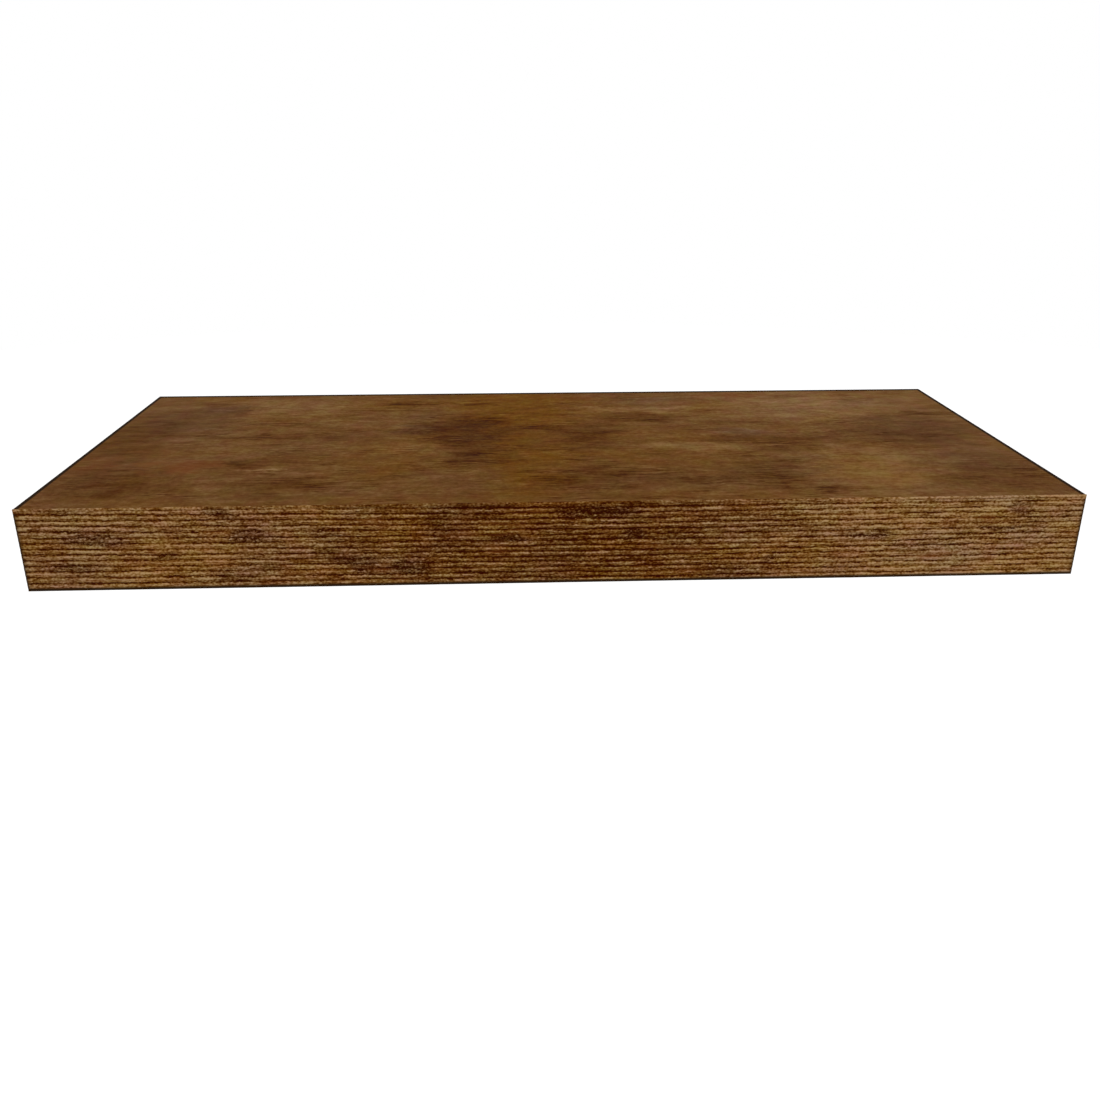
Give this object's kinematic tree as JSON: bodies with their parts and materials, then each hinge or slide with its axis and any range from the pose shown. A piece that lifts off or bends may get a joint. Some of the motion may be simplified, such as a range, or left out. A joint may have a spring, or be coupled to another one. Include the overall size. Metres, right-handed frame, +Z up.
{
  "type": "floating wall shelf",
  "caption": "Rectangular hollow-core wall shelf in rustic brown wood print with an embossed grain front, which slides on to a hidden steel rod bracket and is locked from below.",
  "frame": {"origin": "on the wall plane, at the middle of the wall plate's screw holes, half-way up the shelf", "axes": "+X along the wall, to the right as seen from the room; +Y into the wall; +Z up"},
  "size_m": [0.61, 0.26, 0.05],
  "materials": {
    "printed_top": "satin wood print, dark brown with blotches",
    "printed_underside": "satin wood print, dark brown",
    "embossed_band": "deep embossed wood grain, tan ridges over dark grooves",
    "particleboard": "raw particleboard",
    "kraft_honeycomb": "raw kraft paper",
    "beech": "raw turned beech",
    "zinc_plated_steel": "zinc plated",
    "weld_bead": "weld bead, heat tinted",
    "insert_brass": "turned brass",
    "blackened_steel": "black oxide"
  },
  "bodies": {
    "wall_bracket": {"wall_plate": "zinc_plated_steel", "left_support_rod": "zinc_plated_steel", "right_support_rod": "zinc_plated_steel", "left_rod_weld": "weld_bead", "right_rod_weld": "weld_bead"},
    "shelf": {"top_panel": "printed_top", "bottom_panel": "printed_underside", "front_edge_band": "embossed_band", "left_edge_band": "embossed_band", "right_edge_band": "embossed_band", "left_end_rail": "particleboard", "right_end_rail": "particleboard", "front_rail": "particleboard", "back_rail": "particleboard", "left_rod_rail": "particleboard", "right_rod_rail": "particleboard", "left_honeycomb": "kraft_honeycomb", "centre_honeycomb": "kraft_honeycomb", "right_honeycomb": "kraft_honeycomb", "front_left_dowel_upper": "beech", "front_left_dowel_lower": "beech", "front_right_dowel_upper": "beech", "front_right_dowel_lower": "beech", "back_left_dowel_upper": "beech", "back_left_dowel_lower": "beech", "back_right_dowel_upper": "beech", "back_right_dowel_lower": "beech", "left_lock_insert": "insert_brass", "right_lock_insert": "insert_brass"},
    "left_lock_screw": {"left_lock_screw": "blackened_steel"},
    "right_lock_screw": {"right_lock_screw": "blackened_steel"}
  },
  "joints": [
    {"name": "shelf_slide", "type": "slide", "parent": "wall_bracket", "child": "shelf", "axis": [0, -1, 0], "range_m": [0, 0.165]},
    {"name": "left_lock_screw_travel", "type": "slide", "parent": "shelf", "child": "left_lock_screw", "axis": [0, 0, 1], "range_m": [-0.006, 0]},
    {"name": "right_lock_screw_travel", "type": "slide", "parent": "shelf", "child": "right_lock_screw", "axis": [0, 0, 1], "range_m": [-0.006, 0]}
  ]
}
